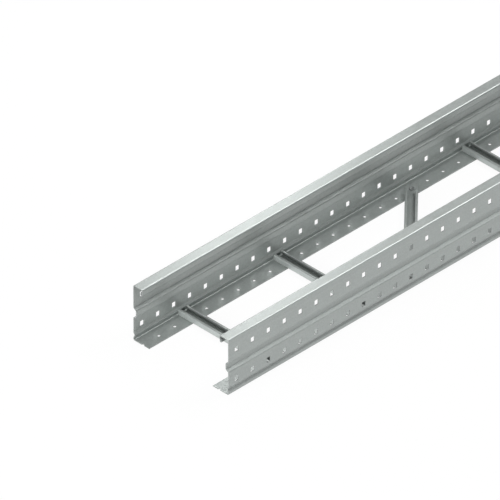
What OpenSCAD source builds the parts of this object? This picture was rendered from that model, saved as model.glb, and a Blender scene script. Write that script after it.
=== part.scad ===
// Cable ladder section: two roll-formed side rails, C rungs and diagonal braces, held by hollow rivets.
// X runs along the ladder, Y across it, and Z up from the underside of the rails.
// The origin lies on the underside, at the middle of the ladder.

/* [Ladder] */
// Length of the section
ladder_l = 3000; // [2400:300:5100]
// Width over the outer faces of the two rails
ladder_w = 300; // [200:50:600]
// Distance from one rung to the next
rung_pitch = 300; // [250:50:400]
// Distance from the end of the ladder to the first rung
first_rung = 150; // [100:50:200]
// Which place from each end holds a diagonal brace, counted from 1
brace_place = 3; // [2:1:4]
// Number of hole pitches that a brace runs along the ladder
brace_run_pitches = 5; // [3:1:7]

/* [Side rail] */
// Thickness of the rail's sheet
rail_t = 2; // [1.5:0.25:2.5]
// Height of the rail
rail_h = 150; // [130:10:200]
// Width of the bottom flange that carries the rungs
bottom_flange = 50; // [46:1:60]
// Width of the top flange
top_flange = 30; // [26:1:40]
// Inner radius of the bends at the web's top and bottom
bend_r = 2; // [1:0.5:3]
// Depth of the lip below the top face
lip_drop = 18; // [14:1:24]
// Lean of the lip towards the web, in degrees
lip_lean = 9; // [0:1:14]
// Height of the hem folded up behind the lip
hem_h = 8; // [6:0.5:11]
// Inner radius of the hem
hem_r = 0.75; // [0.5:0.25:1.5]

/* [Pressed beads] */
// Width of the main groove at the web's outer face
groove_w = 27.5; // [24:0.5:34]
// Width of the main groove's floor
groove_floor = 15; // [12:0.5:18]
// Depth of the main groove
groove_depth = 8; // [5:0.5:10]
// Bend radius of the beads, on the inside of each bend
bead_r = 1.5; // [1:0.25:2]
// Height of the small rib's centre above the underside
rib_z = 14.5; // [13:0.5:18]
// Width of the small rib
rib_w = 12; // [10:0.5:14]
// Depth of the small rib before its bends are rounded
rib_depth = 4; // [2:0.5:5]

/* [Perforation] */
// Distance from one hole to the next along the rail
hole_pitch = 50; // [50:10:60]
// Distance from the rail's end to the first web hole
first_web_hole = 25; // [20:5:30]
// Distance of each web hole row from the rail's nearest edge
web_hole_edge = 35; // [32:1:40]
// Length of a web hole along the rail
web_hole_l = 11; // [8:0.5:16]
// Height of a web hole
web_hole_h = 13.5; // [8:0.5:16]
// Diameter of the round holes in the bottom flange
flange_hole_d = 7; // [6:0.5:9]
// Distance of the flange holes from the web's outer face
flange_hole_in = 30; // [28:1:34]

/* [Rungs and braces] */
// Thickness of the C profile's sheet
c_t = 1.5; // [1:0.25:2]
// Width of the C profile
c_w = 30; // [26:1:40]
// Height of the C profile
c_h = 15; // [13:1:22]
// Width of the slot between the C profile's lips
c_slot = 18; // [14:1:22]
// Inner radius of the C profile's bends
c_bend_r = 1; // [0.5:0.25:1.5]
// Clearance between a rung's end and the rail's rib
rung_gap = 0.4; // [0.2:0.1:1]
// Length of a brace beyond its hole
brace_end = 18; // [12:1:20]
// Length of the flat tab left at a brace's end where its walls are cut away
brace_tab = 33; // [30:1:45]

/* [Rivets] */
// Clearance all round a rivet in its holes
rivet_gap = 0.1; // [0.05:0.05:0.2]
// Diameter of the rolled rivet head
rivet_head_d = 13; // [12:0.5:14]
// Height of the rolled rivet head
rivet_head_h = 1.7; // [1.2:0.1:2.5]
// Diameter of the crater in the rivet head
rivet_crater_d = 9; // [8.5:0.25:9.5]
// Diameter of the rivet's hollow
rivet_hollow_d = 4.8; // [4:0.2:5]
// Thickness of the rivet's closed lower end
rivet_floor = 0.6; // [0.4:0.1:1]
// Depth of the countersink under the flange
sink_depth = 1.2; // [0.6:0.1:1.3]

/* [Hidden] */
$fn = 48;
cut = 1;
tiny = 0.001;
// Largest angle between two neighbouring flats of a rounded bend
bend_step = 15;
steel = [0.70, 0.72, 0.71];
dark_steel = [0.55, 0.57, 0.56];

// How many places with one pitch lie along a stretch, with one at its start
function places_along(stretch, pitch) = floor(stretch / pitch + tiny) + 1;

near_end = -ladder_l / 2;
place_count = places_along(ladder_l - 2 * first_rung, rung_pitch);
web_hole_count = places_along(ladder_l - 2 * first_web_hole, hole_pitch);
flange_hole_count = places_along(ladder_l, hole_pitch);
brace_places = [brace_place - 1, place_count - brace_place];
rung_places = [for (k = [0 : place_count - 1]) if (k != brace_places[0] && k != brace_places[1]) k];

brace_run = brace_run_pitches * hole_pitch;
rivet_line = ladder_w / 2 - flange_hole_in;
sink_d = flange_hole_d + 2 * sink_depth;

// The rib's crown is lower than its corner point because the bend rounds it off
rib_slope = atan(rib_depth / (rib_w / 2));
rib_reach = rail_t + rib_depth - (bead_r + rail_t / 2) * (1 / cos(rib_slope) - 1);
rung_l = ladder_w - 2 * (rib_reach + rung_gap);

function place_x(k) = near_end + first_rung + k * rung_pitch;

// Nearest flange hole at or before a place, measured along the ladder
function hole_x_before(x) = near_end + floor((x - near_end + tiny) / hole_pitch) * hole_pitch;

// Both ends of a brace, the first on the left rail. The second brace is the first one turned half round.
function brace_holes(i) =
    let (far_x = hole_x_before(place_x(brace_places[0])) + 2 * hole_pitch, near_x = far_x - brace_run)
    i == 0 ? [[far_x, rivet_line], [near_x, -rivet_line]] : [[-near_x, rivet_line], [-far_x, -rivet_line]];

// A sheet metal section is drawn from the corner points of the sheet's middle line.
// Each entry of a path is [point, middle radius of the bend there].
function unit(v) = v / norm(v);
function left_of(v) = [-v.y, v.x];
function angle_of(v) = atan2(v.y, v.x);
function heading(path, i) = unit(path[i + 1][0] - path[i][0]);
function turn_at(path, i) =
    let (u = heading(path, i - 1), v = heading(path, i))
    atan2(u.x * v.y - u.y * v.x, u * v);

// Points of one bend on the line that runs beside the path at a distance, positive to its left
function bend_points(path, i, beside) =
    let (
        r = path[i][1],
        turn = turn_at(path, i),
        side = sign(turn),
        u = heading(path, i - 1),
        centre = path[i][0] - r * tan(abs(turn) / 2) * u + side * r * left_of(u),
        start = angle_of(-side * left_of(u)),
        steps = ceil(abs(turn) / bend_step)
    )
    [for (k = [0 : steps])
        centre + (r - side * beside) * [cos(start + turn * k / steps), sin(start + turn * k / steps)]];

function side_line(path, beside) =
    let (last = len(path) - 1)
    concat(
        [path[0][0] + beside * left_of(heading(path, 0))],
        [for (i = [1 : last - 1]) each bend_points(path, i, beside)],
        [path[last][0] + beside * left_of(heading(path, last - 1))]
    );

function reversed(list) = [for (i = [len(list) - 1 : -1 : 0]) list[i]];
function distinct(points) =
    [for (i = [0 : len(points) - 1]) if (i == 0 || norm(points[i] - points[i - 1]) > tiny) points[i]];

module sheet_section(path, t) {
    polygon(distinct(concat(side_line(path, t / 2), reversed(side_line(path, -t / 2)))));
}

// Section of a side rail: first coordinate inwards from the web's outer face, second upwards
function rail_path() =
    let (
        mid = rail_t / 2,
        main_r = bend_r + mid,
        bead_mid_r = bead_r + mid,
        hem_mid_r = hem_r + mid,
        groove_z = rail_h / 2,
        down = [-sin(lip_lean), -cos(lip_lean)],
        back = [-cos(lip_lean), sin(lip_lean)],
        lip_top = [top_flange - mid, rail_h - mid],
        lip_foot_z = rail_h - lip_drop + mid + hem_mid_r * (1 - cos(lip_lean) - sin(lip_lean)),
        lip_foot = lip_top + down * (lip_top.y - lip_foot_z) / cos(lip_lean),
        hem_foot = lip_foot + back * 2 * hem_mid_r
    )
    [
        [[bottom_flange, mid], 0],
        [[mid, mid], main_r],
        [[mid, rib_z - rib_w / 2], bead_mid_r],
        [[mid + rib_depth, rib_z], bead_mid_r],
        [[mid, rib_z + rib_w / 2], bead_mid_r],
        [[mid, groove_z - groove_w / 2], bead_mid_r],
        [[mid + groove_depth, groove_z - groove_floor / 2], bead_mid_r],
        [[mid + groove_depth, groove_z + groove_floor / 2], bead_mid_r],
        [[mid, groove_z + groove_w / 2], bead_mid_r],
        [[mid, rail_h - mid], main_r],
        [lip_top, main_r],
        [lip_foot, hem_mid_r],
        [hem_foot, hem_mid_r],
        [hem_foot - down * hem_h, 0]
    ];

// Section of the C profile: first coordinate across it, second upwards from its floor's underside
function c_path() =
    let (mid = c_t / 2, side = c_w / 2 - mid, r = c_bend_r + mid)
    [
        [[-c_slot / 2, c_h - mid], 0],
        [[-side, c_h - mid], r],
        [[-side, mid], r],
        [[side, mid], r],
        [[side, c_h - mid], r],
        [[c_slot / 2, c_h - mid], 0]
    ];

// Section extruded along X over the given length, centred on the origin
module along_x(length) {
    translate([-length / 2, 0, 0])
        rotate([90, 0, 90])
            linear_extrude(length)
                children();
}

module web_holes() {
    for (k = [0 : web_hole_count - 1])
        for (z = [web_hole_edge, rail_h - web_hole_edge])
            translate([near_end + first_web_hole + k * hole_pitch, rail_t / 2, z])
                cube([web_hole_l, rail_t + 2 * cut, web_hole_h], center = true);
}

module flange_hole(x) {
    translate([x, flange_hole_in, -cut])
        cylinder(d = flange_hole_d, h = rail_t + 2 * cut);
}

// Row of open holes. One that would lie under a rung or brace gives way to its rivet's own hole.
module flange_holes(rivet_places) {
    for (k = [0 : flange_hole_count - 1]) {
        x = near_end + k * hole_pitch;
        if (min([for (place = rivet_places) abs(x - place)]) > hole_pitch / 2) flange_hole(x);
    }
}

// Holes that hold a rivet, countersunk from below
module rivet_holes(rivet_places) {
    for (x = rivet_places) {
        flange_hole(x);
        translate([x, flange_hole_in, -cut])
            cylinder(d1 = sink_d + 2 * cut, d2 = flange_hole_d, h = sink_depth + cut);
    }
}

// Rail with its web's outer face at Y = 0 and its flanges pointing to +Y
module side_rail(rivet_places) {
    color(steel)
        difference() {
            along_x(ladder_l) sheet_section(rail_path(), rail_t);
            web_holes();
            flange_holes(rivet_places);
            rivet_holes(rivet_places);
        }
}

module side_rail_right() {
    places = concat([for (k = rung_places) place_x(k)], [for (i = [0 : 1]) brace_holes(i)[1].x]);
    translate([0, -ladder_w / 2, 0]) side_rail(places);
}

module side_rail_left() {
    places = concat([for (k = rung_places) place_x(k)], [for (i = [0 : 1]) brace_holes(i)[0].x]);
    translate([0, ladder_w / 2, 0]) mirror([0, 1, 0]) side_rail(places);
}

// Straight length of C profile along X with a rivet hole at each given distance from its middle
module c_profile(length, hole_places) {
    difference() {
        along_x(length) sheet_section(c_path(), c_t);
        for (x = hole_places)
            translate([x, 0, -cut]) cylinder(d = flange_hole_d, h = c_t + 2 * cut);
    }
}

module rung(k) {
    color(steel)
        translate([place_x(k), 0, rail_t])
            rotate([0, 0, 90])
                c_profile(rung_l, [-rivet_line, rivet_line]);
}

// The walls and lips stop short of the rails, so that the floor lies on each flange as a flat tab
module diagonal_brace(i) {
    holes = brace_holes(i);
    middle = (holes[0] + holes[1]) / 2;
    span = norm(holes[0] - holes[1]);
    length = span + 2 * brace_end;
    color(dark_steel)
        translate([middle.x, middle.y, rail_t])
            rotate([0, 0, atan2(holes[0].y - holes[1].y, holes[0].x - holes[1].x)])
                difference() {
                    c_profile(length, [-span / 2, span / 2]);
                    for (side = [-1, 1])
                        translate([side * (length / 2 + cut) - (brace_tab + cut) / 2 * (side + 1),
                                   -c_w / 2 - cut, c_t])
                            cube([brace_tab + cut, c_w + 2 * cut, c_h]);
                }
}

// Hollow rivet set from below: countersunk lower end, shank through both sheets and rolled head on top
module rivet(at) {
    seat = rail_t + c_t;
    shank_r = flange_hole_d / 2 - rivet_gap;
    foot_r = sink_d / 2 - rivet_gap;
    head_r = rivet_head_d / 2;
    crater_r = rivet_crater_d / 2;
    hollow_r = rivet_hollow_d / 2;
    roll_r = (head_r - crater_r) / 2;
    color(dark_steel)
        translate([at.x, at.y, 0])
            rotate_extrude()
                polygon(concat(
                    [[0, 0], [foot_r, 0], [shank_r, sink_depth], [shank_r, seat], [head_r, seat]],
                    [for (a = [0 : 30 : 180])
                        [head_r - roll_r + roll_r * cos(a),
                         seat + rivet_head_h - roll_r + roll_r * sin(a)]],
                    [[hollow_r, seat - rail_t / 2], [hollow_r, rivet_floor], [0, rivet_floor]]
                ));
}

side_rail_left();
side_rail_right();
for (i = [0 : len(rung_places) - 1]) {
    rung(rung_places[i]);
    rivet([place_x(rung_places[i]), rivet_line]);
    rivet([place_x(rung_places[i]), -rivet_line]);
}
for (i = [0 : 1]) {
    diagonal_brace(i);
    rivet(brace_holes(i)[0]);
    rivet(brace_holes(i)[1]);
}
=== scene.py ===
"""Cable ladder section in galvanised steel, on a pale studio floor.

Two roll-formed side rails carry slotted C rungs and diagonal braces on their bottom flanges,
held by hollow rivets. Lengths are in metres. X runs along the ladder, Y across it, and Z up
from the underside of the rails.
"""

import logging
import math
from dataclasses import dataclass
from enum import Enum
from typing import Any, Sequence

import bmesh
import bpy
from bmesh.types import BMEdge, BMesh, BMFace, BMVert
from mathutils import Matrix, Vector


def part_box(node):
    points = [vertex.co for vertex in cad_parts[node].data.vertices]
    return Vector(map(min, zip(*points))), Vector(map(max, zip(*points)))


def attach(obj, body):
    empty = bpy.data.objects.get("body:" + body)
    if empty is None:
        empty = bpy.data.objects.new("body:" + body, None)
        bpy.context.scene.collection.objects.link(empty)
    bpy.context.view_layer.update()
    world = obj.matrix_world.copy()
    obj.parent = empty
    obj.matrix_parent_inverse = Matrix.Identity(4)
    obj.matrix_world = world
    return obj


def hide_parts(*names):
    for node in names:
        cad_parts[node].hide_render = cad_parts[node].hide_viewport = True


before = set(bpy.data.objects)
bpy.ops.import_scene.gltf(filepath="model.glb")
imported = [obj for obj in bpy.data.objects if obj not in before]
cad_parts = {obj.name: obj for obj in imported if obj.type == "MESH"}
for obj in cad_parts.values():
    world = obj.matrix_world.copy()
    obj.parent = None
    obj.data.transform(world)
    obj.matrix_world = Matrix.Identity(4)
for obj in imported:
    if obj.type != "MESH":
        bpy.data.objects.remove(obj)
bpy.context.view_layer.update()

log = logging.getLogger("cable_ladder")

Triple = tuple[float, float, float]
Rgba = tuple[float, float, float, float]
Mix = tuple[tuple["Pattern", float], ...]

MM = 0.001
# Points nearer than this lie on each other
TOUCH = 0.002 * MM
# Points nearer than these are merged, on a whole mesh and where rounded folds meet
MERGE = 0.01 * MM
FOLD_MERGE = 0.03 * MM
BODY = "root"
X_AXIS = Vector((1, 0, 0))
Y_AXIS = Vector((0, 1, 0))
Z_AXIS = Vector((0, 0, 1))
# Largest turn between two faces of a bend
BEND_STEP = math.radians(12)
# A hair less than a bend's full reach keeps two bends that meet from crossing
BEND_SHARE = 0.998
# Edges that turn less are shaded as curves, and edges that turn more are finely rounded
SMOOTH_BELOW = math.radians(32)
ROUND_ABOVE = math.radians(50)
# Face attributes that the sheet's finish reads
BEND = "bend"
CUT_EDGE = "cut_edge"


class Slot(Enum):
    """Names of the material slots."""

    RAIL = "rail_steel"
    PROFILE = "profile_steel"
    RIVET = "rivet_steel"


class Region(Enum):
    """Parts of a bent sheet, by the material slot that marks them in the making."""

    FLAT = 0
    BEND = 1
    CUT_EDGE = 2


class Side(Enum):
    """The two rails, by the way that their flanges point across the ladder."""

    LEFT = -1
    RIGHT = 1

    @property
    def label(self) -> str:
        """The side's name as it stands in node names."""
        return self.name.lower()


class Wire:
    """An output socket that takes part in shader maths."""

    def __init__(self, board: "Board", socket: bpy.types.NodeSocket) -> None:
        """Keeps the socket and the board that it lies on."""
        self.board = board
        self.socket = socket

    def __add__(self, other: "Wire | float") -> "Wire":
        """Adds a socket or number."""
        return self.board.maths("ADD", self, other)

    def __radd__(self, other: float) -> "Wire":
        """Adds the socket to a number."""
        return self.board.maths("ADD", other, self)

    def __sub__(self, other: "Wire | float") -> "Wire":
        """Takes a socket or number away."""
        return self.board.maths("SUBTRACT", self, other)

    def __rsub__(self, other: float) -> "Wire":
        """Takes the socket away from a number."""
        return self.board.maths("SUBTRACT", other, self)

    def __mul__(self, other: "Wire | float") -> "Wire":
        """Multiplies by a socket or number."""
        return self.board.maths("MULTIPLY", self, other)

    def __rmul__(self, other: float) -> "Wire":
        """Multiplies a number by the socket."""
        return self.board.maths("MULTIPLY", other, self)


class Board:
    """Lays out the nodes of one material or world."""

    def __init__(self, tree: bpy.types.NodeTree) -> None:
        """Starts from an empty tree."""
        tree.nodes.clear()
        self.tree = tree

    def node(
        self,
        kind: str,
        settings: dict[str, Any] | None = None,
        sockets: dict[str | int, Any] | None = None,
    ) -> bpy.types.Node:
        """Adds one node.

        Args:
            kind: The node's type, without the part that all shader nodes share.
            settings: Properties of the node, set before its sockets are touched.
            sockets: Values or wires for its inputs, by name or number.

        Returns:
            The new node.
        """
        node = self.tree.nodes.new("ShaderNode" + kind)
        for name, value in (settings or {}).items():
            setattr(node, name, value)
        for key, value in (sockets or {}).items():
            if isinstance(value, Wire):
                self.tree.links.new(value.socket, node.inputs[key])
            else:
                node.inputs[key].default_value = value
        return node

    def wire(self, node: bpy.types.Node, output: str | int = 0) -> Wire:
        """Gives one output of a node as a wire."""
        return Wire(self, node.outputs[output])

    def maths(self, operation: str, first: Wire | float, second: Wire | float) -> Wire:
        """Joins two values by a Math node."""
        return self.wire(self.node("Math", {"operation": operation}, {0: first, 1: second}))

    def limited(self, value: Wire) -> Wire:
        """Keeps a value between 0 and 1."""
        return self.wire(self.node("Clamp", None, {"Value": value}))

    def blend(self, factor: Wire, low: Any, high: Any) -> Wire:
        """Mixes two colours.

        Args:
            factor: 0 for the first colour, 1 for the second.
            low: The first colour, or a wire that carries one.
            high: The second colour, or a wire that carries one.

        Returns:
            The mixed colour.
        """
        slots = {0: factor, 6: low, 7: high}
        return self.wire(self.node("Mix", {"data_type": "RGBA"}, slots), 2)

    def noise(self, place: Wire, scale: float, detail: float) -> Wire:
        """Adds soft noise that runs from 0 to 1."""
        sockets = {"Vector": place, "Scale": scale, "Detail": detail}
        return self.wire(self.node("TexNoise", None, sockets), "Fac")

    def mark(self, attribute: str) -> Wire:
        """Reads a face attribute of the mesh."""
        return self.wire(self.node("Attribute", {"attribute_name": attribute}), "Fac")

    def seen_rays(self) -> Wire:
        """Tells the rays of the camera, of gloss and through glass from all others.

        Returns:
            1 for these rays and 0 for the others.
        """
        path = self.node("LightPath")
        rays = ("Is Camera Ray", "Is Glossy Ray", "Is Transmission Ray")
        camera, glossy, through = (self.wire(path, ray) for ray in rays)
        return self.limited(camera + glossy + through)

    def coated(self, skin: dict[str | int, Any]) -> None:
        """Ends a material with one shader of the given sockets."""
        shader = self.wire(self.node("BsdfPrincipled", None, skin))
        self.node("OutputMaterial", None, {"Surface": shader})


def colour(red: float, green: float, blue: float) -> Rgba:
    """Gives an opaque linear colour."""
    return (red, green, blue, 1.0)


def shades(tone: Sequence[float], sway: float) -> list[Rgba]:
    """Gives a tone's dark and light side, each away from it by a share of itself."""
    return [colour(*(channel * (1 + way * sway) for channel in tone)) for way in (-1, 1)]


def placed(name: str, data: bpy.types.ID) -> bpy.types.Object:
    """Puts a new object into the scene.

    Args:
        name: Name of the object.
        data: The mesh, lamp or lens that it holds.

    Returns:
        The object.
    """
    made = bpy.data.objects.new(name, data)
    bpy.context.scene.collection.objects.link(made)
    return made


def as_mesh(bm: BMesh, name: str) -> bpy.types.Mesh:
    """Turns a finished bmesh into a mesh.

    Args:
        bm: The bmesh, which is freed.
        name: Name of the mesh.

    Returns:
        The mesh.
    """
    mesh = bpy.data.meshes.new(name)
    bm.to_mesh(mesh)
    bm.free()
    return mesh


def everything(bm: BMesh) -> list[BMVert | BMEdge | BMFace]:
    """Lists all that a mesh holds."""
    return bm.verts[:] + bm.edges[:] + bm.faces[:]


def shift(bm: BMesh, by: Sequence[float]) -> None:
    """Moves a whole mesh."""
    bmesh.ops.translate(bm, verts=bm.verts[:], vec=by)


def clean(bm: BMesh, merge: float) -> None:
    """Merges a mesh's doubles and makes its faces point one way."""
    bmesh.ops.remove_doubles(bm, verts=bm.verts[:], dist=merge)
    bmesh.ops.recalc_face_normals(bm, faces=bm.faces[:])


class Pattern(Enum):
    """Patterns of the zinc, each of which runs from 0 to 1."""

    CLOUDS = "clouds"
    LINES = "lines"
    SPANGLE = "spangle"
    GRAIN = "grain"


@dataclass(frozen=True)
class GalvanisedSheet:
    """Rolled steel sheet with a satin coat of zinc.

    Attributes:
        name: Name of the material.
        rolled_towards: Heading of the rolling lines in plan, in radians from X.
        tone: Colour of the zinc.
        tone_sway: How far the tone strays to either side, as a share of it.
        tone_mix: Share of each pattern in the tone.
        cut_tone: Colour of the bare cut edges.
        metallic: Share of the metallic look.
        roughness: Roughness of the zinc.
        roughness_sway: How far the roughness strays to either side.
        roughness_mix: Share of each pattern in the roughness.
        cut_roughness: How much rougher the cut edges are.
        bend_polish: How much smoother the rolls leave the bends.
        cloud_scale: Clouds to the metre.
        flake_scale: Flakes of the spangle to the metre.
        grain_scale: Grains to the metre.
        line_scale: Rolling lines to the metre, along the sheet and across it.
        line_relief: Height of the lines in the relief.
        flake_relief: Height of the flakes in it.
        relief_depth: Depth of the whole relief.
        relief_strength: Share of that depth that the light shows.
    """

    name: str
    rolled_towards: float = 0.0
    tone: Triple = (0.370, 0.397, 0.386)
    tone_sway: float = 0.09
    tone_mix: Mix = (
        (Pattern.CLOUDS, 0.8),
        (Pattern.LINES, 0.9),
        (Pattern.GRAIN, 1.8),
        (Pattern.SPANGLE, 0.3),
    )
    cut_tone: Triple = (0.29, 0.305, 0.30)
    metallic: float = 0.6
    roughness: float = 0.43
    roughness_sway: float = 0.07
    roughness_mix: Mix = (
        (Pattern.CLOUDS, 0.9),
        (Pattern.SPANGLE, 0.5),
        (Pattern.LINES, 0.6),
    )
    cut_roughness: float = 0.12
    bend_polish: float = 0.075
    cloud_scale: float = 11.0
    flake_scale: float = 150.0
    grain_scale: float = 260.0
    line_scale: tuple[float, float] = (1.2, 240.0)
    line_relief: float = 0.5
    flake_relief: float = 0.25
    relief_depth: float = 0.1 * MM
    relief_strength: float = 0.10

    def patterns(self, board: Board) -> dict[Pattern, Wire]:
        """Lays out the patterns.

        Args:
            board: The material's board.

        Returns:
            Each pattern's wire.
        """
        places = board.wire(board.node("TexCoord"), "Object")
        turn = {"Vector": places, "Rotation": (0, 0, -self.rolled_towards)}
        along = board.wire(board.node("Mapping", None, turn))
        slow, close = self.line_scale
        stretch = {"Vector": along, "Scale": (slow, close, close)}
        drawn = board.wire(board.node("Mapping", None, stretch))
        cells = {"Vector": along, "Scale": self.flake_scale}
        flakes = board.wire(board.node("TexVoronoi", {"feature": "F1"}, cells), "Color")
        return {
            Pattern.CLOUDS: board.noise(along, self.cloud_scale, detail=3.0),
            Pattern.LINES: board.noise(drawn, scale=1.0, detail=4.0),
            Pattern.SPANGLE: board.wire(board.node("SeparateColor", None, {0: flakes}), 0),
            Pattern.GRAIN: board.noise(along, self.grain_scale, detail=2.0),
        }

    @staticmethod
    def mixed(patterns: dict[Pattern, Wire], mix: Mix) -> Wire:
        """Adds up how far the patterns stray from a half.

        Args:
            patterns: The patterns' wires.
            mix: Share of each pattern.

        Returns:
            A value about 0.
        """
        first, *others = ((patterns[pattern] - 0.5) * share for pattern, share in mix)
        return sum(others, first)

    def material(self) -> bpy.types.Material:
        """Builds the material.

        Returns:
            The finished material.
        """
        steel = bpy.data.materials.new(self.name)
        steel.use_nodes = True
        board = Board(steel.node_tree)
        patterns = self.patterns(board)
        cut, bend = board.mark(CUT_EDGE), board.mark(BEND)
        mottle = board.limited(0.5 + self.mixed(patterns, self.tone_mix))
        zinc = board.blend(mottle, *shades(self.tone, self.tone_sway))
        sway = self.mixed(patterns, self.roughness_mix) * (2 * self.roughness_sway)
        lines, spangle = patterns[Pattern.LINES], patterns[Pattern.SPANGLE]
        height = lines * self.line_relief + spangle * self.flake_relief
        depth = {"Strength": self.relief_strength, "Distance": self.relief_depth, "Height": height}
        skin = {
            "Base Color": board.blend(cut, zinc, colour(*self.cut_tone)),
            "Metallic": self.metallic,
            "Roughness": self.roughness + sway + cut * self.cut_roughness - bend * self.bend_polish,
            "Normal": board.wire(board.node("Bump", None, depth)),
        }
        board.coated(skin)
        return steel


@dataclass(frozen=True)
class PlatedRivet:
    """Zinc plated rivet steel, duller than the sheet round it.

    Attributes:
        name: Name of the material.
        tone: Colour of the plating.
        tone_sway: How far the tone strays to either side, as a share of it.
        metallic: Share of the metallic look.
        roughness: Roughness of the plating.
        roughness_sway: How far the roughness strays to either side.
        grain_scale: Grains to the metre.
        relief_depth: Depth of the grain.
        relief_strength: Share of that depth that the light shows.
    """

    name: str = "plated_rivet_steel"
    tone: Triple = (0.29, 0.305, 0.30)
    tone_sway: float = 0.14
    metallic: float = 0.7
    roughness: float = 0.45
    roughness_sway: float = 0.08
    grain_scale: float = 900.0
    relief_depth: float = 0.05 * MM
    relief_strength: float = 0.08

    def material(self) -> bpy.types.Material:
        """Builds the material.

        Returns:
            The finished material.
        """
        steel = bpy.data.materials.new(self.name)
        steel.use_nodes = True
        board = Board(steel.node_tree)
        places = board.wire(board.node("TexCoord"), "Object")
        grain = board.noise(places, self.grain_scale, detail=3.0)
        depth = {"Strength": self.relief_strength, "Distance": self.relief_depth, "Height": grain}
        skin = {
            "Base Color": board.blend(grain, *shades(self.tone, self.tone_sway)),
            "Metallic": self.metallic,
            "Roughness": self.roughness + (grain - 0.5) * (2 * self.roughness_sway),
            "Normal": board.wire(board.node("Bump", None, depth)),
        }
        board.coated(skin)
        return steel


@dataclass(frozen=True)
class StudioFloorPaint:
    """Pale floor that pictures and metal see as white, with the ladder's faint shadow kept.

    Attributes:
        name: Name of the material.
        white_share: Share of even white that a picture sees.
        tone: Colour that catches the light and the shadow.
    """

    name: str = "studio_floor"
    white_share: float = 0.93
    tone: Triple = (0.82, 0.82, 0.82)

    def material(self) -> bpy.types.Material:
        """Builds the material.

        Returns:
            The finished material.
        """
        paint = bpy.data.materials.new(self.name)
        paint.use_nodes = True
        board = Board(paint.node_tree)
        matt = board.wire(board.node("BsdfDiffuse", None, {"Color": colour(*self.tone)}))
        glow = {"Color": colour(1, 1, 1), "Strength": 1.0}
        white = board.wire(board.node("Emission", None, glow))
        sockets = {0: board.seen_rays() * self.white_share, 1: matt, 2: white}
        mixed = board.wire(board.node("MixShader", None, sockets))
        board.node("OutputMaterial", None, {"Surface": mixed})
        return paint


def face_under(bm: BMesh, point: Vector) -> BMFace:
    """Finds the flat face that a point lies on.

    Args:
        bm: The mesh to search.
        point: A point on one of its faces.

    Returns:
        The face that holds the point.
    """
    bm.normal_update()
    for face in bm.faces:
        away = (point - face.verts[0].co).dot(face.normal)
        if abs(away) < TOUCH and bmesh.geometry.intersect_face_point(face, point):
            return face
    raise ValueError(f"no face lies under {tuple(point)}")


def cut_window(bm: BMesh, centre: Vector, reaches: Sequence[Vector]) -> BMFace:
    """Cuts a rectangle into the face under a point and splits no other face.

    Args:
        bm: The mesh to cut.
        centre: Middle of the rectangle.
        reaches: Vectors from the middle to the sides. The first one's cuts cross the whole face.

    Returns:
        The face that fills the rectangle.
    """
    for reach in reaches:
        for side in (-reach, reach):
            face = face_under(bm, centre)
            around = [face, *face.edges, *face.verts]
            plane = {"plane_co": centre + side, "plane_no": reach.normalized()}
            bmesh.ops.bisect_plane(bm, geom=around, dist=TOUCH, **plane)
    return face_under(bm, centre)


@dataclass(frozen=True)
class Punch:
    """A punched hole, made by lining a slightly larger window with the hole's outline.

    Attributes:
        length: Size of the hole along the sheet.
        height: Size of the hole across the sheet.
        margin: Width of the faces between window and hole.
    """

    length: float
    height: float
    margin: float = 2.0 * MM

    def outline(self, bm: BMesh, plane: Matrix) -> list[BMEdge]:
        """Draws the hole's edge. Each kind of punch draws its own.

        Args:
            bm: The mesh to draw in.
            plane: Place and turn of the hole.

        Returns:
            The edges of the outline.
        """
        raise NotImplementedError

    def pierce(self, bm: BMesh, centre: Vector, along: Vector, across: Vector) -> None:
        """Cuts the hole.

        Args:
            bm: The sheet's middle surface.
            centre: Middle of the hole.
            along: Unit vector of the hole's length.
            across: Unit vector of the hole's height.
        """
        high, wide = self.height / 2 + self.margin, self.length / 2 + self.margin
        window = cut_window(bm, centre, (across * high, along * wide))
        facing, rim = window.normal.copy(), window.edges[:]
        bmesh.ops.delete(bm, geom=[window], context="FACES_ONLY")
        plane = Matrix((along, across, along.cross(across))).transposed().to_4x4()
        plane.translation = centre
        edges = rim + self.outline(bm, plane)
        bmesh.ops.triangle_fill(bm, edges=edges, use_beauty=True, use_dissolve=False, normal=facing)


@dataclass(frozen=True)
class RoundPunch(Punch):
    """A round punched hole.

    Attributes:
        segments: Number of sides of the circle.
    """

    segments: int = 24

    def outline(self, bm: BMesh, plane: Matrix) -> list[BMEdge]:
        """Draws the circle."""
        made = bmesh.ops.create_circle(
            bm, radius=self.length / 2, segments=self.segments, matrix=plane
        )
        return list(dict.fromkeys(e for v in made["verts"] for e in v.link_edges))


@dataclass(frozen=True)
class SquarePunch(Punch):
    """A rectangular punched hole with rounded corners.

    Attributes:
        corner_r: Radius of the corners.
        corner_steps: Number of edges that round a corner.
    """

    corner_r: float = 1.0 * MM
    corner_steps: int = 3

    def outline(self, bm: BMesh, plane: Matrix) -> list[BMEdge]:
        """Draws the rounded rectangle.

        Args:
            bm: The mesh to draw in.
            plane: Place and turn of the hole.

        Returns:
            The edges of the outline.
        """
        stretched = plane @ Matrix.Diagonal((self.length, self.height, 1, 1))
        made = bmesh.ops.create_grid(bm, x_segments=1, y_segments=1, size=0.5, matrix=stretched)
        rounding = {"offset": self.corner_r, "segments": self.corner_steps, "affect": "VERTICES"}
        made = bmesh.ops.bevel(bm, geom=made["verts"], profile=0.5, material=-1, **rounding)
        (face,) = made["verts"][0].link_faces
        edges = face.edges[:]
        bmesh.ops.delete(bm, geom=[face], context="FACES_ONLY")
        return edges


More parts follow.
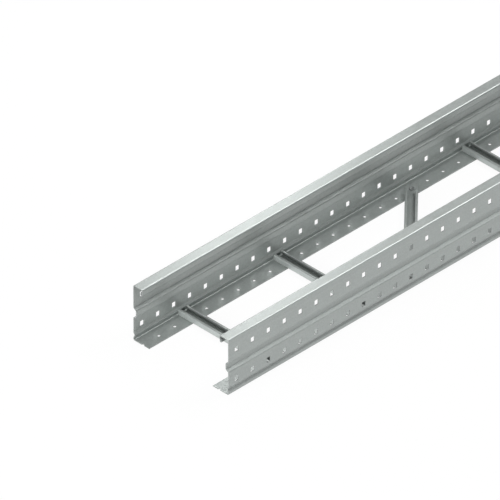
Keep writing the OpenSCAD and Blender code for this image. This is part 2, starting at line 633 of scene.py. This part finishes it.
@dataclass(frozen=True)
class Fold:
    """A corner of a bent sheet's section, on the middle line of the sheet.

    Attributes:
        across: Place across the profile.
        up: Height above the profile's underside.
        inner_r: Radius on the inside of the bend, or 0 at a free edge.
    """

    across: float
    up: float
    inner_r: float = 0.0

    @property
    def place(self) -> Vector:
        """The corner as a point of the section at X = 0."""
        return Vector((0, self.across, self.up))


@dataclass(frozen=True)
class BentSheet:
    """A profile bent or rolled from flat sheet.

    Attributes:
        thickness: Thickness of the sheet.
        folds: Corners of the section, from one free edge to the other.
    """

    thickness: float
    folds: tuple[Fold, ...]

    def drawn(self, length: float) -> BMesh:
        """Draws the section out along X and rounds its folds.

        Args:
            length: Length of the stretch, from X = 0.

        Returns:
            The middle surface of the sheet.
        """
        bm = bmesh.new()
        corners = [bmesh.ops.create_vert(bm, co=fold.place)["vert"][0] for fold in self.folds]
        section = [bm.edges.new(ends) for ends in zip(corners, corners[1:])]
        made = bmesh.ops.extrude_edge_only(bm, edges=section)["geom"]
        far_end = [v for v in made if isinstance(v, BMVert)]
        bmesh.ops.translate(bm, verts=far_end, vec=(length, 0, 0))
        for fold in self.folds[1:-1]:
            self.round_fold(bm, fold)
        clean(bm, FOLD_MERGE)
        return bm

    def round_fold(self, bm: BMesh, fold: Fold) -> None:
        """Rounds one fold to its middle radius.

        Args:
            bm: The middle surface.
            fold: The fold, whose corner is still sharp.
        """
        bm.normal_update()
        line = next(e for e in bm.edges if len(e.link_faces) == 2 and self.lies_on(e, fold))
        turn = line.calc_face_angle()
        reach = (fold.inner_r + self.thickness / 2) * math.tan(turn / 2)
        steps = math.ceil(turn / BEND_STEP)
        rounding = {"offset": reach * BEND_SHARE, "segments": steps, "offset_type": "OFFSET"}
        marked = {"affect": "EDGES", "material": Region.BEND.value}
        bmesh.ops.bevel(bm, geom=[line], profile=0.5, clamp_overlap=False, **rounding, **marked)

    @staticmethod
    def lies_on(edge: BMEdge, fold: Fold) -> bool:
        """Tells whether an edge runs along a fold's sharp corner."""
        return all((v.co - fold.place).yz.length < TOUCH for v in edge.verts)

    def walled(self, middle: BMesh, name: str) -> BMesh:
        """Gives a middle surface the sheet's thickness and marks its bends and cut edges.

        Args:
            middle: The middle surface, which is freed.
            name: Name for the work in progress.

        Returns:
            The closed sheet, with 1 in the face attributes cut_edge and bend where they hold.
        """
        mesh = bpy.data.meshes.new(name)
        for _ in Region:
            mesh.materials.append(None)
        middle.to_mesh(mesh)
        middle.free()
        blank = placed(name, mesh)
        wall = blank.modifiers.new("wall", "SOLIDIFY")
        wall.thickness = self.thickness
        wall.offset = 0
        wall.use_even_offset = True
        wall.use_quality_normals = True
        wall.material_offset_rim = Region.CUT_EDGE.value
        sheet = bmesh.new()
        sheet.from_object(blank, bpy.context.evaluated_depsgraph_get())
        bpy.data.objects.remove(blank)
        bpy.data.meshes.remove(mesh)
        bend, cut_edge = (sheet.faces.layers.float.new(mark) for mark in (BEND, CUT_EDGE))
        for face in sheet.faces:
            face[bend] = float(face.material_index == Region.BEND.value)
            face[cut_edge] = float(face.material_index == Region.CUT_EDGE.value)
            face.material_index = Region.FLAT.value
        return sheet


@dataclass(frozen=True)
class Finisher:
    """Turns a closed mesh into a finished piece of the ladder.

    Attributes:
        edge_r: Width of the fine rounding on every sharp edge.
        edge_steps: Number of faces that round an edge.
        flat_weight: How much the larger faces sway the shading, to look quite flat.
    """

    edge_r: float = 0.15 * MM
    edge_steps: int = 2
    flat_weight: int = 100

    def piece(
        self, bm: BMesh, node: str, slot: Slot, finish: bpy.types.Material
    ) -> bpy.types.Object:
        """Makes the piece that stands for a CAD node.

        Args:
            bm: The closed mesh in its place, which is freed.
            node: Name of the CAD node.
            slot: Material slot; not used.
            finish: The material.

        Returns:
            The finished object.
        """
        mesh = as_mesh(bm, node + "_formed")
        mesh.materials.append(finish)
        mesh.shade_smooth()
        mesh.set_sharp_from_angle(angle=SMOOTH_BELOW)
        piece = placed(mesh.name, mesh)
        edge = piece.modifiers.new("edges", "BEVEL")
        edge.width = self.edge_r
        edge.segments = self.edge_steps
        edge.limit_method = "ANGLE"
        edge.angle_limit = ROUND_ABOVE
        edge.use_clamp_overlap = True
        shading = piece.modifiers.new("shading", "WEIGHTED_NORMAL")
        shading.weight = self.flat_weight
        shading.keep_sharp = True
        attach(piece, BODY)
        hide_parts(node)
        log.info("%s: %d faces before rounding", piece.name, len(mesh.polygons))
        return piece


@dataclass(frozen=True)
class SideRail:
    """One roll-formed side rail with its folded lip, pressed beads and perforation.

    The section starts at the bottom flange's free edge and ends inside the lip's hem.

    Attributes:
        side: Which of the two rails it is.
        thickness: Thickness of the sheet.
        bottom_flange: Width of the bottom flange, from the web's outer face.
        top_flange: Width of the top flange, from the web's outer face.
        bend_r: Inner radius of the bends at the flanges.
        lip_drop: How far the lip hangs below the rail's top.
        lip_lean: How far the lip leans back towards the web.
        hem_h: Height of the hem behind the lip.
        hem_r: Inner radius of the hem.
        groove_w: Width of the wide bead at the web's face.
        groove_floor: Width of its flat floor.
        groove_depth: How far the wide bead is pressed in.
        bead_r: Inner radius of the bends of both beads.
        rib_z: Height of the small rib's middle.
        rib_w: Width of the small rib at the web's face.
        rib_depth: How far the small rib is pressed in.
        hole_pitch: Distance between like holes.
        first_web_hole: Distance from a flange hole to the web holes after it.
        web_hole_edge: Distance of the web holes from the rail's underside and top.
        flange_hole_in: Distance of the flange holes from the web's outer face.
        sink_depth: Depth of the countersink under a rivet.
        web_hole: The web holes' punch.
        flange_hole: The flange holes' punch.
    """

    side: Side
    thickness: float = 2 * MM
    bottom_flange: float = 50 * MM
    top_flange: float = 30 * MM
    bend_r: float = 2 * MM
    lip_drop: float = 18 * MM
    lip_lean: float = math.radians(9)
    hem_h: float = 8 * MM
    hem_r: float = 0.75 * MM
    groove_w: float = 27.5 * MM
    groove_floor: float = 15 * MM
    groove_depth: float = 8 * MM
    bead_r: float = 1.5 * MM
    rib_z: float = 14.5 * MM
    rib_w: float = 12 * MM
    rib_depth: float = 4 * MM
    hole_pitch: float = 50 * MM
    first_web_hole: float = 25 * MM
    web_hole_edge: float = 35 * MM
    flange_hole_in: float = 30 * MM
    sink_depth: float = 1.2 * MM
    web_hole: Punch = SquarePunch(11 * MM, 13.5 * MM)
    flange_hole: Punch = RoundPunch(7 * MM, 7 * MM)

    @property
    def node(self) -> str:
        """Name of the CAD node."""
        return f"side_rail_{self.side.label}"

    @property
    def span(self) -> tuple[float, float]:
        """Where the rail starts and ends along X."""
        low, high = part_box(self.node)
        return low.x, high.x

    @property
    def height(self) -> float:
        """Height of the rail."""
        low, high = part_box(self.node)
        return high.z - low.z

    @property
    def outer_y(self) -> float:
        """Place of the web's outer face across the ladder."""
        low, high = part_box(self.node)
        return low.y if self.side is Side.RIGHT else high.y

    @property
    def hole_lead(self) -> float:
        """Distance from the start of a repeat to its flange hole."""
        return self.hole_pitch / 4

    def section(self) -> BentSheet:
        """Works out the folds of the rail's section.

        Returns:
            The section, across from the web's outer face and up from the underside.
        """
        mid = self.thickness / 2
        hem_mid_r = self.hem_r + mid
        centre = self.height / 2
        sine, cosine = math.sin(self.lip_lean), math.cos(self.lip_lean)
        lip_top = Vector((self.top_flange - mid, self.height - mid))
        foot_up = self.height - self.lip_drop + mid + hem_mid_r * (1 - cosine - sine)
        down = Vector((-sine, -cosine))
        lip_foot = lip_top + down * ((lip_top.y - foot_up) / cosine)
        hem_foot = lip_foot + Vector((-cosine, sine)) * (2 * hem_mid_r)
        hem_end = hem_foot - down * self.hem_h
        folds = (
            Fold(self.bottom_flange, mid),
            Fold(mid, mid, self.bend_r),
            Fold(mid, self.rib_z - self.rib_w / 2, self.bead_r),
            Fold(mid + self.rib_depth, self.rib_z, self.bead_r),
            Fold(mid, self.rib_z + self.rib_w / 2, self.bead_r),
            Fold(mid, centre - self.groove_w / 2, self.bead_r),
            Fold(mid + self.groove_depth, centre - self.groove_floor / 2, self.bead_r),
            Fold(mid + self.groove_depth, centre + self.groove_floor / 2, self.bead_r),
            Fold(mid, centre + self.groove_w / 2, self.bead_r),
            Fold(mid, self.height - mid, self.bend_r),
            Fold(*lip_top, self.bend_r),
            Fold(*lip_foot, self.hem_r),
            Fold(*hem_foot, self.hem_r),
            Fold(*hem_end),
        )
        return BentSheet(self.thickness, folds)

    def repeat(self, section: BentSheet) -> BMesh:
        """Makes one hole pitch of the rail's middle surface, with one hole of each row.

        Args:
            section: The rail's section.

        Returns:
            A stretch of one pitch, from X = 0.
        """
        bm = section.drawn(self.hole_pitch)
        mid = self.thickness / 2
        web_x = self.hole_lead + self.first_web_hole
        for up in (self.web_hole_edge, self.height - self.web_hole_edge):
            self.web_hole.pierce(bm, Vector((web_x, mid, up)), X_AXIS, Z_AXIS)
        in_flange = Vector((self.hole_lead, self.flange_hole_in, mid))
        self.flange_hole.pierce(bm, in_flange, X_AXIS, Y_AXIS)
        return bm

    def middle(self, section: BentSheet) -> BMesh:
        """Makes the whole rail's middle surface in its place.

        Args:
            section: The rail's section.

        Returns:
            The perforated middle surface.
        """
        bm = self.repeat(section)
        start, end = self.span
        first = everything(bm)
        for k in range(1, round((end - start) / self.hole_pitch) + 1):
            made = bmesh.ops.duplicate(bm, geom=first)["geom"]
            verts = [v for v in made if isinstance(v, BMVert)]
            bmesh.ops.translate(bm, verts=verts, vec=(k * self.hole_pitch, 0, 0))
        shift(bm, (start - self.hole_lead, 0, 0))
        for end_x, outwards in ((start, -X_AXIS), (end, X_AXIS)):
            plane = {"plane_co": (end_x, 0, 0), "plane_no": outwards, "clear_outer": True}
            bmesh.ops.bisect_plane(bm, geom=everything(bm), dist=TOUCH, **plane)
        bmesh.ops.scale(bm, verts=bm.verts[:], vec=(1, self.side.value, 1))
        shift(bm, (0, self.outer_y, 0))
        clean(bm, MERGE)
        return bm

    def countersink(self, bm: BMesh, rivets: Sequence[Vector]) -> None:
        """Sinks the underside of the holes that hold a rivet.

        Args:
            bm: The walled rail.
            rivets: Places of the ladder's rivets, of which this rail's own are used.
        """
        reach = self.flange_hole.length / 2 + self.sink_depth / 2
        own = [r for r in rivets if abs(r.y - self.outer_y) < self.bottom_flange]
        low = [e for e in bm.edges if all(v.co.z < TOUCH for v in e.verts)]
        rims = [
            e for e in low if any(all((v.co - r).xy.length < reach for v in e.verts) for r in own)
        ]
        chamfer = {"offset": self.sink_depth, "offset_type": "OFFSET", "segments": 1}
        plain = {"affect": "EDGES", "profile": 0.5, "material": -1, "clamp_overlap": False}
        bmesh.ops.bevel(bm, geom=rims, **chamfer, **plain)

    def build(
        self, finisher: Finisher, finish: bpy.types.Material, rivets: Sequence[Vector]
    ) -> bpy.types.Object:
        """Builds the rail.

        Args:
            finisher: Makes the finished piece.
            finish: The material.
            rivets: Places of the ladder's rivets.

        Returns:
            The finished rail.
        """
        section = self.section()
        sheet = section.walled(self.middle(section), self.node + "_blank")
        self.countersink(sheet, rivets)
        return finisher.piece(sheet, self.node, Slot.RAIL, finish)


@dataclass(frozen=True)
class SlottedChannel:
    """A length of C profile with its slot upwards, as a rung or as a diagonal brace.

    Attributes:
        node: Name of the CAD node.
        rivet_left: Place of its rivet on the left rail.
        rivet_right: Place of its rivet on the right rail.
        overhang: Length beyond each rivet.
        tab: Length at each end where the walls are cut away, or 0.
        thickness: Thickness of the sheet.
        width: Width of the profile.
        height: Height of the profile.
        slot: Width of the slot between its lips.
        bend_r: Inner radius of its bends.
        rivet_hole: The rivet holes' punch.
    """

    node: str
    rivet_left: Vector
    rivet_right: Vector
    overhang: float
    tab: float = 0.0
    thickness: float = 1.5 * MM
    width: float = 30 * MM
    height: float = 15 * MM
    slot: float = 18 * MM
    bend_r: float = 1 * MM
    rivet_hole: Punch = RoundPunch(7 * MM, 7 * MM)

    @property
    def run(self) -> Vector:
        """Vector from the left rivet to the right one."""
        return self.rivet_right - self.rivet_left

    @property
    def heading(self) -> float:
        """Direction of the run in plan, as an angle from X."""
        return math.atan2(self.run.y, self.run.x)

    def section(self) -> BentSheet:
        """Works out the folds of the C profile.

        Returns:
            The section, centred across and up from the underside.
        """
        mid = self.thickness / 2
        wall = self.width / 2 - mid
        top = self.height - mid
        folds = (
            Fold(-self.slot / 2, top),
            Fold(-wall, top, self.bend_r),
            Fold(-wall, mid, self.bend_r),
            Fold(wall, mid, self.bend_r),
            Fold(wall, top, self.bend_r),
            Fold(self.slot / 2, top),
        )
        return BentSheet(self.thickness, folds)

    def cut_tabs(self, bm: BMesh, length: float) -> None:
        """Cuts the walls and lips away at both ends, so that the floor stays as a flat tab.

        Args:
            bm: The middle surface, from X = 0.
            length: Length of the profile.
        """
        for x in (self.tab, length - self.tab):
            plane = {"plane_co": (x, 0, 0), "plane_no": X_AXIS}
            bmesh.ops.bisect_plane(bm, geom=everything(bm), dist=TOUCH, **plane)
        above = [f for f in bm.faces if self.is_waste(f, length)]
        bmesh.ops.delete(bm, geom=above, context="FACES")
        sides = [e for e in bm.edges if e.is_boundary and self.is_tab_side(e, length)]
        made = bmesh.ops.extrude_edge_only(bm, edges=sides)["geom"]
        for vert in (v for v in made if isinstance(v, BMVert)):
            outwards = math.copysign(self.width / 2, vert.co.y) - vert.co.y
            bmesh.ops.translate(bm, verts=[vert], vec=(0, outwards, 0))

    def is_waste(self, face: BMFace, length: float) -> bool:
        """Tells whether a face is part of the walls that are cut away.

        Args:
            face: A face of the middle surface.
            length: Length of the profile.

        Returns:
            Whether it lies above a tab.
        """
        middle = face.calc_center_median()
        at_end = middle.x < self.tab or middle.x > length - self.tab
        return at_end and middle.z > self.thickness / 2 + TOUCH

    def is_tab_side(self, edge: BMEdge, length: float) -> bool:
        """Tells whether an edge is a long side of a tab, where the bend began.

        Args:
            edge: A boundary edge of the middle surface.
            length: Length of the profile.

        Returns:
            Whether it borders a tab.
        """
        low, high = sorted(v.co.x for v in edge.verts)
        at_end = high < self.tab + TOUCH or low > length - self.tab - TOUCH
        flat = self.width / 2 - self.bend_r - self.thickness
        return at_end and high - low > TOUCH and all(abs(v.co.y) > flat - TOUCH for v in edge.verts)

    def middle(self, section: BentSheet) -> BMesh:
        """Makes the middle surface in its place.

        Args:
            section: The C profile.

        Returns:
            The middle surface with its rivet holes.
        """
        length = self.run.length + 2 * self.overhang
        bm = section.drawn(length)
        mid = self.thickness / 2
        for x in (self.overhang, length - self.overhang):
            self.rivet_hole.pierce(bm, Vector((x, 0, mid)), X_AXIS, Y_AXIS)
        if self.tab:
            self.cut_tabs(bm, length)
        shift(bm, (-self.overhang, 0, 0))
        bmesh.ops.rotate(bm, matrix=Matrix.Rotation(self.heading, 3, "Z"), verts=bm.verts[:])
        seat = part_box(self.node)[0].z
        shift(bm, (self.rivet_left.x, self.rivet_left.y, seat))
        bmesh.ops.recalc_face_normals(bm, faces=bm.faces[:])
        return bm

    def build(self, finisher: Finisher, finish: bpy.types.Material) -> bpy.types.Object:
        """Builds the rung or brace.

        Args:
            finisher: Makes the finished piece.
            finish: The material.

        Returns:
            The finished piece.
        """
        section = self.section()
        sheet = section.walled(self.middle(section), self.node + "_blank")
        return finisher.piece(sheet, self.node, Slot.PROFILE, finish)


@dataclass(frozen=True)
class HollowRivet:
    """A hollow rivet, countersunk below and rolled over on top.

    Attributes:
        node: Name of the CAD node.
        shank_r: Radius of the shank.
        foot_r: Radius of the countersunk foot.
        sink_depth: Height of the foot.
        seat: Height at which the rolled head sits on the profile.
        head_r: Radius of the head.
        head_h: Height of the head.
        crater_r: Radius at the inner foot of the head's roll.
        crater_floor: Height at which the hollow begins.
        hollow_r: Radius of the hollow.
        floor_t: Thickness of the floor that closes the hollow.
        turns: Number of sides of the rivet.
        roll_steps: Number of edges that round the head.
    """

    node: str
    shank_r: float = 3.4 * MM
    foot_r: float = 4.6 * MM
    sink_depth: float = 1.2 * MM
    seat: float = 3.5 * MM
    head_r: float = 6.5 * MM
    head_h: float = 1.7 * MM
    crater_r: float = 4.5 * MM
    crater_floor: float = 2.5 * MM
    hollow_r: float = 2.4 * MM
    floor_t: float = 0.6 * MM
    turns: int = 36
    roll_steps: int = 6

    def profile(self, bm: BMesh) -> list[BMEdge]:
        """Draws half of the rivet's section, from the middle of its underside to its hollow.

        Args:
            bm: The mesh to draw in.

        Returns:
            The edges of the outline.
        """
        corners = (
            (0, 0),
            (self.foot_r, 0),
            (self.shank_r, self.sink_depth),
            (self.shank_r, self.seat),
            (self.head_r, self.seat),
        )
        verts = [bmesh.ops.create_vert(bm, co=(r, 0, z))["vert"][0] for r, z in corners]
        roll_r = (self.head_r - self.crater_r) / 2
        crest = Vector((self.head_r - roll_r, 0, self.seat + self.head_h - roll_r))
        start = bmesh.ops.create_vert(bm, co=crest + X_AXIS * roll_r)["vert"][0]
        about = {"cent": crest, "axis": -Y_AXIS, "angle": math.pi, "steps": self.roll_steps}
        bmesh.ops.spin(bm, geom=[start], **about)
        verts += [v for v in bm.verts if v not in verts]
        ends = (
            (self.hollow_r, self.crater_floor),
            (self.hollow_r, self.floor_t),
            (0, self.floor_t),
        )
        verts += [bmesh.ops.create_vert(bm, co=(r, 0, z))["vert"][0] for r, z in ends]
        for pair in zip(verts, verts[1:]):
            if bm.edges.get(pair) is None:
                bm.edges.new(pair)
        return bm.edges[:]

    def build(self, finisher: Finisher, finish: bpy.types.Material) -> bpy.types.Object:
        """Builds the rivet.

        Args:
            finisher: Makes the finished piece.
            finish: The material.

        Returns:
            The finished rivet.
        """
        bm = bmesh.new()
        outline = self.profile(bm)
        around = {"cent": (0, 0, 0), "axis": Z_AXIS, "angle": 2 * math.pi, "steps": self.turns}
        bmesh.ops.spin(bm, geom=bm.verts[:] + outline, use_merge=True, **around)
        clean(bm, MERGE)
        low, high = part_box(self.node)
        place = ((low.x + high.x) / 2, (low.y + high.y) / 2, low.z)
        shift(bm, place)
        return finisher.piece(bm, self.node, Slot.RIVET, finish)


@dataclass(frozen=True)
class SoftBox:
    """A rectangular soft lamp.

    Attributes:
        name: Name of the lamp.
        stands_at: Place of its middle.
        size: Width and height.
        watts: Power.
        points_at: What it is turned to.
    """

    name: str
    stands_at: Triple
    size: tuple[float, float]
    watts: float
    points_at: Triple = (-0.90, 0.00, 0.08)

    def build(self) -> None:
        """Puts the lamp into the scene."""
        lamp = bpy.data.lights.new(self.name, "AREA")
        lamp.shape = "RECTANGLE"
        lamp.size, lamp.size_y = self.size
        lamp.energy = self.watts
        stand = placed(self.name, lamp)
        stand.location = self.stands_at
        aim = Vector(self.points_at) - Vector(self.stands_at)
        stand.rotation_euler = aim.to_track_quat("-Z", "Y").to_euler()


@dataclass(frozen=True)
class Studio:
    """Floor, even room light, soft lamps and the long camera.

    Attributes:
        floor_r: Radius of the floor.
        floor_sides: Number of sides of the floor.
        floor_drop: How far below the ladder the floor lies.
        room_light: Brightness of the surroundings.
        horizon_h: Sine of the angle at which the white horizon has faded, up and down.
        horizon_fade: Part of that, at its edge, over which it fades.
        picture_w: Width of the picture at the ladder.
        lens: Focal length in millimetres.
        film: Width of the film in millimetres.
        far_limit: How many times the camera's distance it sees.
        beyond_end: How far from the ladder's near end the picture's middle lies, on the floor.
        beside: How far from the ladder's middle line it lies.
        lamps: The soft lamps.
    """

    floor_r: float = 60.0
    floor_sides: int = 96
    floor_drop: float = 0.05 * MM
    room_light: float = 0.28
    horizon_h: float = 0.13
    horizon_fade: float = 0.05
    picture_w: float = 1.118
    lens: float = 1600.0
    film: float = 36.0
    far_limit: float = 3.0
    beyond_end: float = 0.4283
    beside: float = 0.2116
    lamps: tuple[SoftBox, ...] = (
        SoftBox("strip_light", (-0.32, 0.98, 1.13), (0.3, 1.3), 6.0, points_at=(-1.30, 0.00, 0.15)),
        SoftBox("high_softbox", (2.01, -0.50, 4.11), (3.4, 1.7), 134.4),
        SoftBox("end_softbox", (-6.67, -0.61, 1.60), (3.2, 2.4), 410.2),
        SoftBox("top_softbox", (-2.43, -1.22, 5.75), (3.2, 3.2), 80.4),
    )

    def floor(self) -> None:
        """Lays the floor just under the ladder."""
        bm = bmesh.new()
        bmesh.ops.create_circle(bm, cap_ends=True, radius=self.floor_r, segments=self.floor_sides)
        mesh = as_mesh(bm, "studio_floor")
        mesh.materials.append(StudioFloorPaint().material())
        floor = placed(mesh.name, mesh)
        floor.location.z = -self.floor_drop

    def surroundings(self) -> None:
        """Sets the even light of the room, with a narrow white horizon behind the floor's edge."""
        world = bpy.data.worlds.new("room_light")
        bpy.context.scene.world = world
        world.use_nodes = True
        board = Board(world.node_tree)
        heading = board.wire(board.node("TexCoord"), "Generated")
        up = board.wire(board.node("SeparateXYZ", None, {0: heading}), 2)
        steepness = board.maths("ABSOLUTE", up, 0.0)
        horizon = board.limited((self.horizon_h - steepness) * (1 / self.horizon_fade))
        white = board.seen_rays() * horizon
        strength = self.room_light + white * (1 - self.room_light)
        sockets = {"Color": colour(1, 1, 1), "Strength": strength}
        light = board.wire(board.node("Background", None, sockets))
        board.node("OutputWorld", None, {"Surface": light})

    def camera(self) -> None:
        """Places the camera for the even three-way view of the ladder's near end."""
        lens = bpy.data.cameras.new("long_camera")
        lens.lens = self.lens
        lens.sensor_width = self.film
        back = Vector((-1, -1, 1)).normalized()
        distance = self.lens / self.film * self.picture_w
        middle = Vector((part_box("side_rail_right")[0].x + self.beyond_end, self.beside, 0))
        lens.clip_end = self.far_limit * distance
        camera = placed(lens.name, lens)
        camera.location = middle + back * distance
        camera.rotation_euler = (-back).to_track_quat("-Z", "Y").to_euler()
        bpy.context.scene.camera = camera

    def build(self) -> None:
        """Sets up the whole studio."""
        self.camera()
        self.floor()
        self.surroundings()
        for lamp in self.lamps:
            lamp.build()
        bpy.context.scene.view_settings.view_transform = "Standard"


@dataclass(frozen=True)
class CableLadder:
    """The whole ladder section.

    Attributes:
        brace_overhang: Length of a brace beyond its rivets.
        brace_tab: Length of its flat tabs.
    """

    brace_overhang: float = 18 * MM
    brace_tab: float = 33 * MM

    def rivet_nodes(self) -> list[str]:
        """Names the CAD nodes of all rivets."""
        return [name for name in sorted(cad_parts) if "_rivet_" in name]

    def is_channel(self, node: str) -> bool:
        """Tells whether a CAD node is a rung or brace."""
        return node.startswith(("rung_", "diagonal_brace_")) and "_rivet_" not in node

    def rivet_at(self, node: str) -> Vector:
        """Gives the middle of a rivet."""
        low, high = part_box(node)
        return (low + high) / 2

    def channel(self, node: str) -> SlottedChannel:
        """Describes one rung or brace from the frame.

        Args:
            node: Name of its CAD node.

        Returns:
            The rung or brace, still without a finish.
        """
        owner = node.removeprefix("diagonal_")
        ends = (f"{owner}_rivet_{side.label}" for side in (Side.LEFT, Side.RIGHT))
        left, right = (self.rivet_at(end) for end in ends)
        if owner == node:
            return SlottedChannel(node, left, right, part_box(node)[1].y - left.y)
        return SlottedChannel(node, left, right, self.brace_overhang, self.brace_tab)

    def sheet(self, degrees: int) -> bpy.types.Material:
        """Builds the sheet's finish for one heading of its rolling lines."""
        return GalvanisedSheet(f"galvanised_{abs(degrees)}", math.radians(degrees)).material()

    def build(self) -> list[bpy.types.Object]:
        """Builds every piece.

        Returns:
            The finished pieces.
        """
        finisher = Finisher()
        rivets = self.rivet_nodes()
        channels = [self.channel(node) for node in sorted(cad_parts) if self.is_channel(node)]
        headings = sorted({0} | {round(math.degrees(c.heading)) for c in channels})
        sheets = {d: self.sheet(d) for d in headings}
        plated = PlatedRivet().material()
        places = [self.rivet_at(node) for node in rivets]
        pieces = [SideRail(side).build(finisher, sheets[0], places) for side in Side]
        pieces += [c.build(finisher, sheets[round(math.degrees(c.heading))]) for c in channels]
        pieces += [HollowRivet(node).build(finisher, plated) for node in rivets]
        return pieces


def main() -> None:
    """Builds the studio and the ladder, and reports the pieces."""
    logging.basicConfig(level=logging.INFO, format="%(name)s: %(message)s")
    Studio().build()
    pieces = CableLadder().build()
    log.info("%d pieces", len(pieces))


if __name__ == "__main__":
    main()
